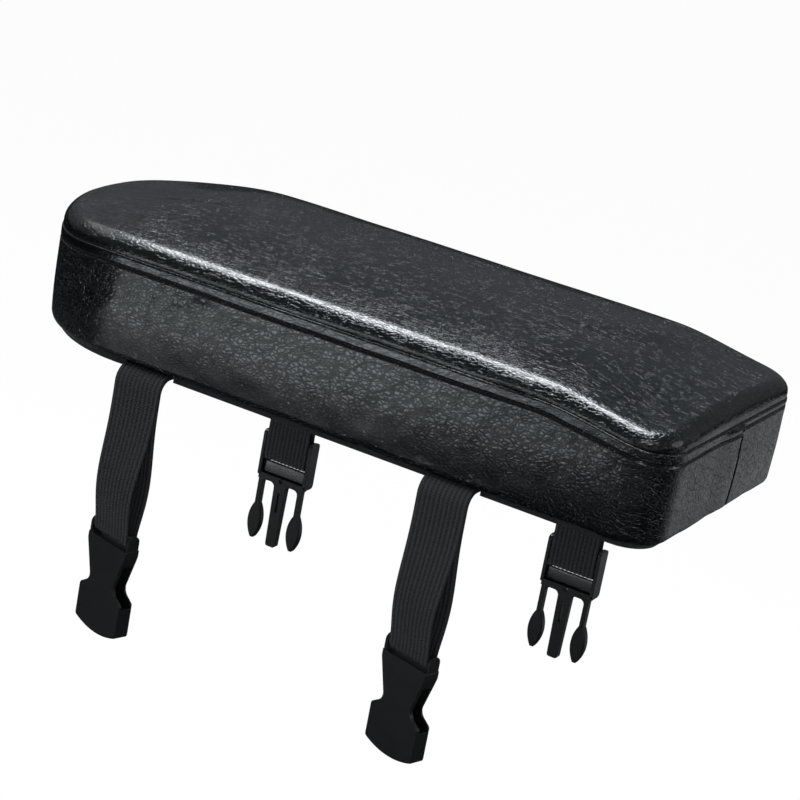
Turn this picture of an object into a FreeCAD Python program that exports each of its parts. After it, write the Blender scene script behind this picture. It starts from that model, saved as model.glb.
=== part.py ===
"""Rear rack cushion seat: a padded cushion on a board, strapped to a bicycle's rear rack.

Frame: X runs along the cushion towards its square end, Z is up, and the origin is in the middle of
the underside that rests on the rack. All sizes are in millimetres.
"""
import FreeCAD
import Part
import math
import os

V = FreeCAD.Vector

# Plan of the cushion
cushion_length = 350.0
cushion_width = 152.0
tip_radius = 190.0          # broad arc across the rounded end
shoulder_radius = 68.0      # arcs from the broad arc into the long sides
corner_radius = 20.0        # corners of the square end

# Height of the cushion
seam_height = 53.0          # seam between band and top panel, above the underside
rounded_end_drop = 5.0      # how far the seam sinks at the rounded end
square_end_drop = 7.5       # how far the seam sinks at the square end
drop_run = 65.0             # length over which the seam sinks
roll_height = 7.0           # edge of the top panel above the seam
roll_radius = 7.5           # rounding of the top panel's edge
rim_steps = 6               # outlines that make up the rounding
rim_pitch = 45.0            # points along an outline
crown_rise = 5.0            # middle of the top panel above its edge

# Cover
cover_thickness = 1.2
skirt_return = 18.0         # width of the band that is folded under the board
hem_radius = 2.5            # rounding of the band's lower edge
hem_steps = 4               # outlines that make up the rounding
lap_width = 14.0            # overlap of the band's two ends, at the square end
lap_proud = 0.8             # how far the overlap stands off the band
lap_offset = 8.0            # free edge of the overlap, from the middle of the square end

# Base
pad_thickness = 3.4
pad_inset = 5.0             # edge of the base pad inside the cushion's outline
board_thickness = 6.0
fit_gap = 0.15              # play between the cover and what it holds

# Webbing straps
web_width = 25.0
web_thickness = 1.3
web_gap = 0.3               # between the two layers where they lie together
socket_places = (-86.5, 77.5)   # near straps along the cushion: rounded end, square end
plug_places = (-88.0, 81.5)     # far straps, stapled a little out of line with the near ones
strap_overhang = 3.0        # middle of the hanging strap outside the cushion's outline
strap_bend = 7.0            # bend where the strap turns down, at the middle of its layers
anchor_length = 45.0        # strap under the board
notch_play = 1.0            # room beside the strap in the base pad
web_bar_drop = 78.0         # axis of a buckle's web bar below the underside
socket_turn = -17.0         # degrees that a near strap twists on its way down
socket_slack = 3.0          # how far each layer of a near strap bows out on its way down

# Parts common to both buckle halves
bar_radius = 1.8
bar_play = 0.35             # webbing loop clear of the web bar
frame_inside = 25.9         # between the side walls that flank the webbing

# Buckle socket
ear_wall = 1.6
ear_radius = 3.2
slot_drop = 4.6             # top of the socket's body below the web bar
socket_depth = 8.4          # front to back
socket_waist = 17.4         # width where the tapering sides meet the head's shoulders
socket_head = 31.5          # width at the mouth
waist_drop = 27.0           # waist below the web bar
head_top_drop = 31.5        # top of the head below the web bar
socket_drop = 48.5          # corner of the mouth below the web bar
mouth_bow = 3.4             # the mouth's edge is bowed by this much
mouth_corner = 2.0          # rounding of the mouth's corners
taper_round = 6.0           # rounding where the sides start to taper
waist_round = 4.5           # hollow rounding at the waist
head_round = 2.0            # rounding of the head's shoulders
window_top_drop = 13.0      # release windows start here
plate_wall = 1.5            # front and back plates
head_wall = 2.4             # side walls of the mouth
socket_edge = 0.7           # bevelled long edges of the plates

# Buckle plug
rail_wall = 1.8
rail_rise = 12.5            # rails above the web bar
rail_drop = 13.0            # rails below the web bar
rail_front = 2.8            # rails in front of the web bar's axis
rail_round = 2.0            # rounded ends of the rails
grip_bar_play = 0.5         # between the webbing and the grip bar behind it
grip_bar_depth = 1.7
grip_bar_height = 3.0
grip_bar_rise = 8.6         # lower edge of the grip bar above the web bar
beam_drop = 10.8            # beam that carries the prongs, below the web bar
beam_height = 3.4
prong_depth = 3.6
prong_forward = 0.95        # prongs' mid-plane in front of the web bar's axis: the plug hangs plumb
crotch_radius = 2.6         # rounding between the beam and the prongs
arm_spread = 12.1           # middle of each side arm from the plug's middle
arm_width = 2.4
arm_drop = 29.0             # arms end and the barbs start, below the web bar
barb_width = 7.8
barb_length = 19.0
barb_belly = 8.0            # widest place below the top of the barb
barb_tip = 1.8              # width of the blunt tip
barb_proud = 0.3            # barbs stand this far off the arms, front and back
barb_edge = 0.5             # bevelled edges of the barb
guide_width = 7.2
guide_tip_width = 5.8
guide_drop = 49.5
guide_round = 1.4           # rounded corners of the guide's tip
guide_slit_width = 1.1
guide_slit_length = 11.0
guide_slit_drop = 19.0
beam_hole_radius = 1.1

# Staples
staple_wire = 0.6
staple_crown = 10.0
staple_leg = 4.6
skirt_staple_inset = 10.0   # from the cushion's outline
skirt_staple_pitch = 42.0
strap_staple_rows = (12.0, 26.0)   # from the inner end of a strap

# Worked-out sizes
half_length = cushion_length / 2
half_width = cushion_width / 2
skirt_bottom = pad_thickness
board_bottom = skirt_bottom + cover_thickness
board_top = board_bottom + board_thickness
layer_offset = (web_thickness + web_gap) / 2
anchor_middle = pad_thickness - web_gap / 2 - web_thickness
loop_radius = bar_radius + bar_play + web_thickness / 2
strap_out = half_width + strap_overhang
bend_out = strap_out - strap_bend
strap_spots = [(x, -1) for x in socket_places] + [(x, 1) for x in plug_places]
frame_outside = frame_inside + 2 * rail_wall
grip_bar_front = loop_radius + web_thickness / 2 + grip_bar_play
rail_back = grip_bar_front + grip_bar_depth
prong_front = -prong_forward - prong_depth / 2


def ease(t):
    """Smooth step from 0 to 1."""
    t = min(max(t, 0.0), 1.0)
    return t * t * (3 - 2 * t)


def seam_level(x):
    """Height of the seam, which sinks towards both ends."""
    start = half_length - drop_run
    sink = rounded_end_drop * ease((-x - start) / drop_run)
    return seam_height - sink - square_end_drop * ease((x - start) / drop_run)


def roof_level(x, y):
    """Height of the top panel before its edge is rounded: the seam's line carried up and crowned."""
    return seam_level(x) + roll_height + crown_rise * (1 - (y / half_width) ** 2)


def arc_between(start, middle, end):
    return Part.Arc(start, middle, end).toShape()


def arc_on(centre, radius, from_deg, to_deg, z):
    """Arc about a plan point, from one direction to another."""
    def at(deg):
        turn = math.radians(deg)
        return V(centre[0] + radius * math.cos(turn), centre[1] + radius * math.sin(turn), z)
    return arc_between(at(from_deg), at((from_deg + to_deg) / 2), at(to_deg))


def plan_wire(inset, z):
    """Outline of the cushion in plan, moved inwards by inset: a flat-ended and a round-ended side."""
    side = half_width - inset
    tip_centre = tip_radius - half_length
    across = half_width - shoulder_radius
    shoulder_x = tip_centre - math.sqrt((tip_radius - shoulder_radius) ** 2 - across ** 2)
    corner_x = half_length - corner_radius
    corner_y = half_width - corner_radius
    meet = math.degrees(math.atan2(across, tip_centre - shoulder_x))
    tip, shoulder, corner = tip_radius - inset, shoulder_radius - inset, corner_radius - inset
    edges = [
        arc_on((corner_x, -corner_y), corner, -90, 0, z),
        Part.makeLine(V(half_length - inset, -corner_y, z), V(half_length - inset, corner_y, z)),
        arc_on((corner_x, corner_y), corner, 0, 90, z),
        Part.makeLine(V(corner_x, side, z), V(shoulder_x, side, z)),
        arc_on((shoulder_x, across), shoulder, 90, 180 - meet, z),
        arc_on((tip_centre, 0), tip, 180 - meet, 180 + meet, z),
        arc_on((shoulder_x, -across), shoulder, 180 + meet, 270, z),
        Part.makeLine(V(shoulder_x, -side, z), V(corner_x, -side, z)),
    ]
    return Part.Wire(edges)


def plan_prism(inset, bottom, top):
    return Part.Face(plan_wire(inset, bottom)).extrude(V(0, 0, top - bottom))


def below_roof(lowered):
    """Solid under the crowned surface of the top panel, moved down by lowered."""
    reach_x, reach_y = half_length + corner_radius, half_width + corner_radius
    columns, rows = 17, 7
    grid = []
    for i in range(columns):
        x = reach_x * (2 * i / (columns - 1) - 1)
        across = [reach_y * (2 * j / (rows - 1) - 1) for j in range(rows)]
        grid.append([V(x, y, roof_level(x, y) - lowered) for y in across])
    surface = Part.BSplineSurface()
    surface.interpolate(grid)
    return surface.toShape().extrude(V(0, 0, -2 * seam_height))


def rim_wire(inset, sunk):
    """Outline moved inwards by inset and lifted onto the top panel's surface, less the depth sunk."""
    def lifted(point):
        return V(point.x, point.y, roof_level(point.x, point.y) - sunk)
    edges = []
    for edge in plan_wire(inset, 0).OrderedEdges:
        places = edge.discretize(Number=3 + int(edge.Length / rim_pitch))
        leave = lifted(places[0] + edge.tangentAt(edge.FirstParameter)) - lifted(places[0])
        arrive = lifted(places[-1]) - lifted(places[-1] - edge.tangentAt(edge.LastParameter))
        curve = Part.BSplineCurve()
        points = [lifted(place) for place in places]
        curve.interpolate(Points=points, InitialTangent=leave, FinalTangent=arrive)
        edges.append(curve.toShape())
    return Part.Wire(edges)


def cushion_form(inset, bottom):
    """The cushion's solid form, all its walls moved inwards by inset, above the given level.

    Upright walls carry a rim lofted through outlines that step inwards and upwards round the roll
    and then go down inside the crowned dome, which fills the middle.
    """
    radius = roll_radius - inset
    shoulder = seam_height - max(rounded_end_drop, square_end_drop) - roll_radius
    wires = [plan_wire(inset, shoulder)]
    for i in range(rim_steps):
        turn = math.pi / 2 * i / rim_steps
        wires.append(rim_wire(inset + radius * (1 - math.cos(turn)), inset + radius * (1 - math.sin(turn))))
    wires.append(rim_wire(inset + radius + fit_gap, inset + fit_gap))
    wires.append(plan_wire(inset + radius + cover_thickness, shoulder + cover_thickness))
    rim = Part.makeLoft(wires, True, True)
    tall = seam_height + roll_height + crown_rise + corner_radius
    dome = plan_prism(inset + radius, shoulder - roll_radius, tall).common(below_roof(inset))
    return plan_prism(inset, bottom, shoulder).fuse([rim, dome]).removeSplitter()


def above_seam():
    """Everything above the seam, as a block with the seam's line for its lower side."""
    columns = 17
    reach = half_length + corner_radius
    xs = [reach * (2 * i / (columns - 1) - 1) for i in range(columns)]
    line = Part.BSplineCurve()
    line.interpolate([V(x, -cushion_width, seam_level(x)) for x in xs])
    high = 2 * seam_height
    left, right = V(-reach, -cushion_width, high), V(reach, -cushion_width, high)
    edges = [line.toShape(), Part.makeLine(line.EndPoint, right), Part.makeLine(right, left)]
    edges.append(Part.makeLine(left, line.StartPoint))
    return Part.Face(Part.Wire(edges)).extrude(V(0, 2 * cushion_width, 0))


def hem_form():
    """Rounded lower edge of the cover: outlines that step inwards towards the underside."""
    wires = []
    for i in range(hem_steps + 1):
        turn = math.pi / 2 * i / hem_steps
        level = skirt_bottom + hem_radius * (1 - math.cos(turn))
        wires.append(plan_wire(hem_radius * (1 - math.sin(turn)), level))
    return Part.makeLoft(wires, True, True)


def cover_skin():
    """Whole cover before it is parted at the seam, open under the board inside the folded skirt."""
    outside = cushion_form(0, skirt_bottom + hem_radius).fuse(hem_form()).removeSplitter()
    inside = cushion_form(cover_thickness, board_bottom)
    opening = plan_prism(skirt_return, skirt_bottom - fit_gap, board_bottom + fit_gap)
    return outside.cut(inside).cut(opening)


def lap_patch():
    """End of the band that laps over the other end, on the flat of the square end."""
    low = skirt_bottom + hem_radius
    high = seam_height - square_end_drop
    patch = Part.makeBox(lap_proud, lap_width, high - low, V(half_length, lap_offset - lap_width, low))
    edges = [edge for edge in patch.Edges if edge.BoundBox.XMin > half_length + lap_proud / 2]
    return patch.makeFillet(lap_proud / 2, edges)


def staple(middle, along_deg):
    """One staple: crown level with middle, legs going up into the board."""
    reach = staple_crown / 2
    crown = Part.makeBox(staple_crown, staple_wire, staple_wire, V(-reach, -staple_wire / 2, 0))
    legs = []
    for x in (-reach, reach - staple_wire):
        legs.append(Part.makeBox(staple_wire, staple_wire, staple_leg, V(x, -staple_wire / 2, 0)))
    one = crown.fuse(legs).removeSplitter()
    one.rotate(V(0, 0, 0), V(0, 0, 1), along_deg)
    one.translate(middle)
    return one


def skirt_staples():
    """Staples at an even pitch round the folded skirt, clear of the straps."""
    route = plan_wire(skirt_staple_inset, skirt_bottom - staple_wire)
    count = int(route.Length / skirt_staple_pitch)
    clear = web_width / 2 + notch_play + staple_crown
    made = []
    for i, point in enumerate(route.discretize(Number=count + 1)[:-1]):
        beside = [abs(point.x - x) for x, side in strap_spots if side * point.y > half_width / 2]
        if not beside or min(beside) > clear:
            ahead = route.discretize(Number=8 * count + 1)[8 * i + 1]
            made.append(staple(point, math.degrees(math.atan2(ahead.y - point.y, ahead.x - point.x))))
    return made


def strap_staples():
    """Two staples across the inner end of each strap."""
    made = []
    level = anchor_middle - layer_offset - web_thickness / 2 - staple_wire
    for x, side in strap_spots:
        for row in strap_staple_rows:
            made.append(staple(V(x, side * (bend_out - anchor_length + row), level), 0))
    return made


def bow(t):
    """Rise from 0 to 1 and back to 0, level at both ends and highest a little past halfway."""
    late = t ** 1.5
    return 16 * late ** 2 * (1 - late) ** 2


def strap_sections(twist, slack):
    """Stations of one strap seen along the cushion: distance out, height, direction, twist.

    The webbing runs out under the board, turns down, hangs, goes round the web bar and comes back
    the same way as the second layer; slack bows the two hanging layers apart. Direction is that of
    the webbing's outer face.
    """
    top = anchor_middle - strap_bend
    bar = -web_bar_drop
    half = []
    arc_steps, hang_steps, loop_steps = 6, 12, 6
    half.append((bend_out - anchor_length, anchor_middle + layer_offset, 90.0, 0.0))
    for i in range(arc_steps):
        deg = 90.0 * (1 - i / arc_steps)
        radius = strap_bend + layer_offset
        turn = math.radians(deg)
        half.append((bend_out + radius * math.cos(turn), top + radius * math.sin(turn), deg, 0.0))
    for i in range(hang_steps):
        t = i / hang_steps
        spread = layer_offset + (loop_radius - layer_offset) * ease(t) + slack * bow(t)
        half.append((strap_out + spread, top + (bar - top) * t, 0.0, twist * ease(t)))
    loop = []
    for i in range(2 * loop_steps + 1):
        deg = -180.0 * i / (2 * loop_steps)
        turn = math.radians(deg)
        out, z = loop_radius * math.cos(turn), loop_radius * math.sin(turn)
        loop.append((strap_out + out, bar + z, deg, twist))
    back = []
    for out, z, deg, turned in reversed(half[1 + arc_steps:]):
        back.append((2 * strap_out - out, z, deg - 180.0, turned))
    for i in range(arc_steps - 1, -1, -1):
        deg = 90.0 * (1 - i / arc_steps)
        radius = strap_bend - layer_offset
        turn = math.radians(deg)
        at = (bend_out + radius * math.cos(turn), top + radius * math.sin(turn))
        back.append((at[0], at[1], deg - 180.0, 0.0))
    back.append((bend_out - anchor_length, anchor_middle - layer_offset, -90.0, 0.0))
    return half + loop + back


def strap(x, side, twist, slack):
    """One doubled strap: a flat section of webbing carried through its stations."""
    wires = []
    for out, z, deg, turned in strap_sections(twist, slack):
        turn, face = math.radians(turned), math.radians(deg)
        across = V(math.cos(turn), math.sin(turn), 0) * (web_width / 2)
        outwards = V(-math.sin(turn) * side, math.cos(turn) * side, 0)
        through = (outwards * math.cos(face) + V(0, 0, math.sin(face))) * (web_thickness / 2)
        middle = V(x, side * strap_out, z) + outwards * (out - strap_out)
        corners = [middle - across - through, middle + across - through]
        corners += [middle + across + through, middle - across + through]
        wires.append(Part.makePolygon(corners + corners[:1]))
    return Part.makeLoft(wires, True, True)


def mirrored_profile(right_points, y, depth):
    """Solid of a symmetric outline in XZ, given by its right half from top to bottom."""
    left_points = [(-x, z) for x, z in reversed(right_points) if x > 0]
    points = [V(x, y, z) for x, z in right_points + left_points]
    return Part.Face(Part.makePolygon(points + points[:1])).extrude(V(0, depth, 0))


def web_bar(length):
    return Part.makeCylinder(bar_radius, length, V(-length / 2, 0, 0), V(1, 0, 0))


def rounded_line(points, radii, y):
    """Edges in XZ from the first point to the last, with an arc of its own radius at each corner."""
    places = [V(x, y, z) for x, z in points]
    edges = []
    start = places[0]
    for before, corner, after, radius in zip(places, places[1:], places[2:], radii):
        back = (before - corner).normalize()
        ahead = (after - corner).normalize()
        half = back.getAngle(ahead) / 2
        reach = radius / math.tan(half)
        inwards = (back + ahead).normalize()
        middle = corner + inwards * (radius / math.sin(half) - radius)
        edges.append(Part.makeLine(start, corner + back * reach))
        start = corner + ahead * reach
        edges.append(arc_between(corner + back * reach, middle, start))
    edges.append(Part.makeLine(start, places[-1]))
    return edges


def socket_body():
    """Outline of the socket's plates: sides that taper to the waist, and a bow-edged head."""
    top, waist, head = frame_outside / 2, socket_waist / 2, socket_head / 2
    y = -socket_depth / 2
    side = [(top, -slot_drop), (top, -slot_drop - ear_radius), (waist, -waist_drop)]
    side += [(head, -head_top_drop), (head, -socket_drop)]
    right = rounded_line(side, (taper_round, waist_round, head_round), y)
    left = [edge.mirror(V(0, 0, 0), V(1, 0, 0)) for edge in right]
    corner = V(head, y, -socket_drop)
    mouth = arc_between(corner, V(0, y, -socket_drop - mouth_bow), V(-head, y, -socket_drop))
    brow = Part.makeLine(V(-top, y, -slot_drop), V(top, y, -slot_drop))
    wire = Part.Wire(Part.__sortEdges__(right + [mouth] + left + [brow]))
    body = Part.Face(wire).extrude(V(0, socket_depth, 0))
    through = [edge for edge in body.Edges if edge.BoundBox.YLength > fit_gap]
    corners = [edge for edge in through if edge.BoundBox.ZMax < fit_gap - socket_drop]
    body = body.makeFillet(mouth_corner, corners)
    flat = [edge for edge in body.Edges if edge.BoundBox.YLength < fit_gap]
    rims = [edge for edge in flat if edge.BoundBox.ZMin < -slot_drop - fit_gap]
    return body.makeChamfer(socket_edge, rims)


def buckle_socket():
    """Socket half of the buckle: hollow between its plates, open at the mouth and at both sides."""
    body = socket_body()
    hollow = socket_depth - 2 * plate_wall
    low = socket_drop + mouth_bow + plate_wall
    mouth_width = socket_head - 2 * head_wall
    mouth = Part.makeBox(mouth_width, hollow, low - window_top_drop,
                         V(-mouth_width / 2, -hollow / 2, -low))
    window_height = head_top_drop - window_top_drop + head_wall
    windows = Part.makeBox(2 * socket_head, hollow, window_height,
                           V(-socket_head, -hollow / 2, -head_top_drop - head_wall))
    body = body.cut(mouth).cut(windows)
    return body.fuse(socket_top()).removeSplitter()


def socket_top():
    """Ears of the socket and the web bar between them."""
    made = [web_bar(frame_inside + ear_wall)]
    for x in (-frame_inside / 2 - ear_wall, frame_inside / 2):
        lug = Part.makeCylinder(ear_radius, ear_wall, V(x, 0, 0), V(1, 0, 0))
        neck = Part.makeBox(ear_wall, 2 * ear_radius, slot_drop + ear_radius,
                            V(x, -ear_radius, -slot_drop - ear_radius))
        made.append(lug.fuse(neck))
    return made


def barb(side):
    """Leaf-shaped catch at the end of a side arm, with bevelled edges and a blunt tip."""
    x, y = side * arm_spread, prong_front - barb_proud
    depth = prong_depth + 2 * barb_proud
    root, top = 0.4 * arm_width, arm_width / 2 - arm_drop
    belly, tip = -arm_drop - barb_belly, -arm_drop - barb_length
    sides = []
    for turn in (-1, 1):
        middle = V(x + turn * barb_width / 2, y, belly)
        sides.append(arc_between(V(x + turn * root, y, top), middle, V(x + turn * barb_tip / 2, y, tip)))
    brow = Part.makeLine(V(x - root, y, top), V(x + root, y, top))
    end = Part.makeLine(V(x - barb_tip / 2, y, tip), V(x + barb_tip / 2, y, tip))
    wire = Part.Wire(Part.__sortEdges__(sides + [brow, end]))
    leaf = Part.Face(wire).extrude(V(0, depth, 0))
    rims = [edge for edge in leaf.Edges if edge.BoundBox.YLength < fit_gap]
    return leaf.makeChamfer(barb_edge, rims)


def guide():
    """Middle prong with a slit, tapering to a rounded tip."""
    shape = [(guide_width / 2, -beam_drop - beam_height), (guide_tip_width / 2, -guide_drop)]
    body = mirrored_profile(shape, prong_front, prong_depth)
    through = [edge for edge in body.Edges if edge.BoundBox.YLength > fit_gap]
    corners = [edge for edge in through if edge.BoundBox.ZMax < fit_gap - guide_drop]
    slit = Part.makeBox(guide_slit_width, prong_depth, guide_slit_length,
                        V(-guide_slit_width / 2, prong_front, -guide_slit_drop - guide_slit_length))
    return body.makeFillet(guide_round, corners).cut(slit)


def prongs():
    """Beam with two sprung side arms and the guide between them, rounded where they spring from it."""
    width = frame_inside + rail_wall
    beam_bottom = -beam_drop - beam_height
    beam = Part.makeBox(width, prong_depth, beam_height, V(-width / 2, prong_front, beam_bottom))
    made = [guide()]
    for side in (-1, 1):
        made.append(Part.makeBox(arm_width, prong_depth, arm_drop + beam_bottom,
                                 V(side * arm_spread - arm_width / 2, prong_front, -arm_drop)))
    fork = beam.fuse(made).removeSplitter()
    through = [edge for edge in fork.Edges if edge.BoundBox.YLength > prong_depth - fit_gap]
    level = [edge for edge in through if abs(edge.BoundBox.Center.z - beam_bottom) < fit_gap]
    inner = [edge for edge in level if abs(edge.BoundBox.Center.x) < arm_spread]
    fork = fork.makeFillet(crotch_radius, inner)
    hole = Part.makeCylinder(beam_hole_radius, prong_depth,
                             V(0, prong_front, -beam_drop - beam_height / 2), V(0, 1, 0))
    return [fork.cut(hole), barb(-1), barb(1)]


def plug_frame():
    """Ladder frame of the plug: two rails with the web bar and the grip bar between them."""
    depth = rail_front + rail_back
    made = [web_bar(frame_inside + rail_wall)]
    made.append(Part.makeBox(frame_inside + rail_wall, grip_bar_depth, grip_bar_height,
                             V(-(frame_inside + rail_wall) / 2, grip_bar_front, grip_bar_rise)))
    for x in (-frame_inside / 2 - rail_wall, frame_inside / 2):
        rail = Part.makeBox(rail_wall, depth, rail_rise + rail_drop, V(x, -rail_front, -rail_drop))
        ends = [edge for edge in rail.Edges if edge.BoundBox.XLength > fit_gap]
        made.append(rail.makeFillet(rail_round, ends))
    return made


def buckle_plug():
    """Plug half of the buckle, one moulding."""
    first, *others = plug_frame() + prongs()
    return first.fuse(others).removeSplitter()


def placed(shape, x, side, turned):
    """Buckle half hung at its strap, its back towards the middle of the cushion."""
    shape = shape.copy()
    shape.rotate(V(0, 0, 0), V(0, 0, 1), turned)
    shape.translate(V(x, side * strap_out, -web_bar_drop))
    return shape


def base_pad(staples):
    """Sheet under the board, notched for the strap anchors and raised inside the folded skirt."""
    pad = plan_prism(pad_inset, 0, pad_thickness)
    pad = pad.fuse(plan_prism(skirt_return + fit_gap, pad_thickness / 2, board_bottom))
    width = web_width + 2 * notch_play
    reach = anchor_length + notch_play
    notches = []
    for x, side in strap_spots:
        middle = side * (bend_out - reach + cushion_width / 2)
        notches.append(Part.makeBox(width, cushion_width, pad_thickness,
                                    V(x - width / 2, middle - cushion_width / 2, 0)))
    return pad.cut(notches + staples).removeSplitter()


def write(name, shape):
    shape.exportStep(os.path.join("parts", name + ".step"))
    print(name, "solids", len(shape.Solids), "volume", round(shape.Volume), "valid", shape.isValid())


def main():
    os.makedirs("parts", exist_ok=True)
    skin = cover_skin()
    upper = above_seam()
    skirt_pins, strap_pins = skirt_staples(), strap_staples()
    pins = skirt_pins + strap_pins

    write("top_panel", skin.common(upper))
    write("side_band", skin.cut(upper).fuse(lap_patch()).cut(pins).removeSplitter())
    inner = cover_thickness + fit_gap
    write("foam_pad", cushion_form(inner, board_top))
    write("base_board", plan_prism(inner, board_bottom, board_top).cut(pins))
    write("base_pad", base_pad(pins))
    write("skirt_staples", Part.makeCompound(skirt_pins))
    write("strap_staples", Part.makeCompound(strap_pins))

    names = ("rounded_end", "square_end")
    for name, near, far in zip(names, socket_places, plug_places):
        near_strap = strap(near, -1, socket_turn, socket_slack)
        write("socket_strap_" + name, near_strap.cut(strap_pins))
        write("buckle_socket_" + name, placed(buckle_socket(), near, -1, socket_turn))
        write("plug_strap_" + name, strap(far, 1, 0, 0).cut(strap_pins))
        write("buckle_plug_" + name, placed(buckle_plug(), far, 1, 0))


main()
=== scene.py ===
"""Looks of the rear rack cushion seat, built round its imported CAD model.

The leatherette cover is a swollen, sewn skin over the foam, the straps are ribbed webbing
folded round the buckle bars, and the moulded buckles keep their CAD solids.
"""

import math

import bmesh
import bpy
import numpy as np
from bpy.props import FloatProperty, FloatVectorProperty, IntProperty, PointerProperty
from mathutils import Matrix, Vector


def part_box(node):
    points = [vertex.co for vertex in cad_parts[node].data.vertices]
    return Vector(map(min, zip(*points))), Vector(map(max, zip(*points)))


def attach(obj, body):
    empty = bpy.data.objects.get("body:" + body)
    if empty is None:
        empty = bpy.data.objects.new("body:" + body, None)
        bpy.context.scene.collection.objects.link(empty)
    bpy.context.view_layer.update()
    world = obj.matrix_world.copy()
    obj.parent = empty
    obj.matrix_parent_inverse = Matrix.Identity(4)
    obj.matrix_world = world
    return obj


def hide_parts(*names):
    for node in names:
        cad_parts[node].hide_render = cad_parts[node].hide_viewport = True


bl_info = {
    "name": "Rear rack cushion seat",
    "version": (1, 0, 0),
    "blender": (4, 5, 0),
    "location": "3D View > Sidebar > Cushion seat",
    "description": "Sewn cushion cover, webbing straps and buckles of a rear rack seat",
    "category": "Object",
}

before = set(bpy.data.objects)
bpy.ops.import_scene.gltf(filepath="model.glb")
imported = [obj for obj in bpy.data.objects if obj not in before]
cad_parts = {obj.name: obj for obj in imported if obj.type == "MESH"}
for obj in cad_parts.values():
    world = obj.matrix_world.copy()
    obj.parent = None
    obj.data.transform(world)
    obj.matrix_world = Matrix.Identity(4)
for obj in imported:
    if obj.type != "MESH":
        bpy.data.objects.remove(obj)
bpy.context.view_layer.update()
MM = 0.001
STRAP_ENDS = ("rounded_end", "square_end")
TURN_STEPS = 720  # columns round the cover
ROLL_SHARE = 0.16  # part of the top panel's rows that lies on the rolled edge
BAR_OUT = 79 * MM  # buckle bars, out from the cushion's middle plane
BAR_LEVEL = -78 * MM  # buckle bars, under the rack's deck
FLOOR_LEVEL = -0.32
FLOOR_REACH = 80.0


def linear(code):
    """Linear colour of an sRGB hex value: each channel through the sRGB curve."""
    part = np.array([int(code[k : k + 2], 16) for k in (1, 3, 5)]) / 255
    curve = np.where(part <= 0.04045, part / 12.92, ((part + 0.055) / 1.055) ** 2.4)
    return tuple(float(c) for c in curve)


def size(name, default, description):
    """A length property, in metres."""
    return FloatProperty(name=name, description=description, default=default, precision=4, unit="LENGTH")


def colour(name, code, description):
    """A colour property whose default is an sRGB hex value."""
    return FloatVectorProperty(
        name=name, description=description, default=linear(code), size=3, min=0, max=1, subtype="COLOR"
    )


class CushionSizes(bpy.types.PropertyGroup):
    """Sizes of the sewn cover and of the straps."""

    length: size("Length", 0.350, "Cushion length from the round tip to the square end")
    width: size("Width", 0.152, "Cushion width")
    tip_radius: size("Tip radius", 0.190, "Flat curve across the rounded end")
    shoulder_radius: size("Shoulder radius", 0.068, "Curve from the tip into the sides")
    corner_radius: size("Corner radius", 0.020, "Corners of the square end")
    seam_height: size("Seam height", 0.053, "Top seam above the rack, at mid length")
    rounded_drop: size("Rounded end drop", 0.005, "How far the seam falls at the tip")
    square_drop: size("Square end drop", 0.0075, "How far the seam falls at the other end")
    drop_run: size("Drop run", 0.065, "Length over which the seam falls")
    roll_height: size("Roll height", 0.007, "Height of the rolled edge above the seam")
    roll_radius: size("Roll radius", 0.0075, "Radius of the rolled edge")
    crown_rise: size("Crown rise", 0.005, "Height of the crown above the rolled edge")
    hem_height: size("Hem height", 0.0034, "Lower fold of the side band above the rack")
    hem_radius: size("Hem radius", 0.0025, "Rounding of the lower fold")
    hem_return: size("Hem return", 0.018, "Width turned under the board")
    skin: size("Skin", 0.0012, "Thickness of the leatherette")
    strip: size("Seam strip", 0.0050, "From the seam down to the topstitch")
    seam_tuck: size("Seam tuck", 0.0003, "Depth the seam pulls both panels in")
    groove: size("Stitch groove", 0.0008, "Depth the topstitch pulls the band in")
    lean: size("Lean", 0.0005, "How far the band stands out under the seam")
    hem_draw: size("Hem draw", 0.0004, "How far the hem is drawn in under the band")
    stitch_pitch: size("Stitch pitch", 0.0040, "Length of one stitch and its gap")
    lap_edge: size("Lap edge", 0.008, "Free edge of the band's lap, from the middle of the square end")
    web_width: size("Webbing width", 0.025, "Width of the straps")
    web_thickness: size("Webbing thickness", 0.0013, "Thickness of one layer")
    slack: size("Strap slack", 0.0030, "How far the layers of a near strap bow apart")
    ribs: IntProperty(name="Ribs", description="Ribs across a strap", default=11, min=3)


class CushionColours(bpy.types.PropertyGroup):
    """Colours of the materials."""

    leather: colour("Leatherette", "#0b0c0e", "Coated cloth of the cover")
    thread: colour("Thread", "#040405", "Topstitch thread")
    webbing: colour("Webbing", "#2b2c30", "Woven straps")
    buckle: colour("Buckle plastic", "#151617", "Moulded buckles")
    felt: colour("Felt", "#1b1c1e", "Pad under the board")
    wood: colour("Plywood", "#a98558", "Board inside the cover")
    foam: colour("Foam", "#c9bd93", "Foam inside the cover")
    steel: colour("Staple wire", "#b4b7bb", "Staples under the board")
    floor: colour("Floor", "#f4f4f4", "Studio floor")


# Arrays and meshes


def ease(t):
    """Smooth step: 3t^2 - 2t^3 of t held between 0 and 1."""
    t = np.clip(t, 0, 1)
    return t * t * (3 - 2 * t)


def spread(field, places, axis, wrap):
    """Reads an array at fractional places along one axis, by Catmull-Rom weights of four neighbours."""
    base = np.floor(places).astype(int)
    t = places - base
    weights = (
        -t + 2 * t**2 - t**3,
        2 - 5 * t**2 + 3 * t**3,
        t + 4 * t**2 - 3 * t**3,
        t**3 - t**2,
    )
    count = field.shape[axis]
    shape = [1] * field.ndim
    shape[axis] = -1
    total = 0
    for step, weight in enumerate(weights):
        index = base + step - 1
        index = index % count if wrap else np.clip(index, 0, count - 1)
        total = total + np.take(field, index, axis=axis) * (weight / 2).reshape(shape)
    return total


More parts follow.
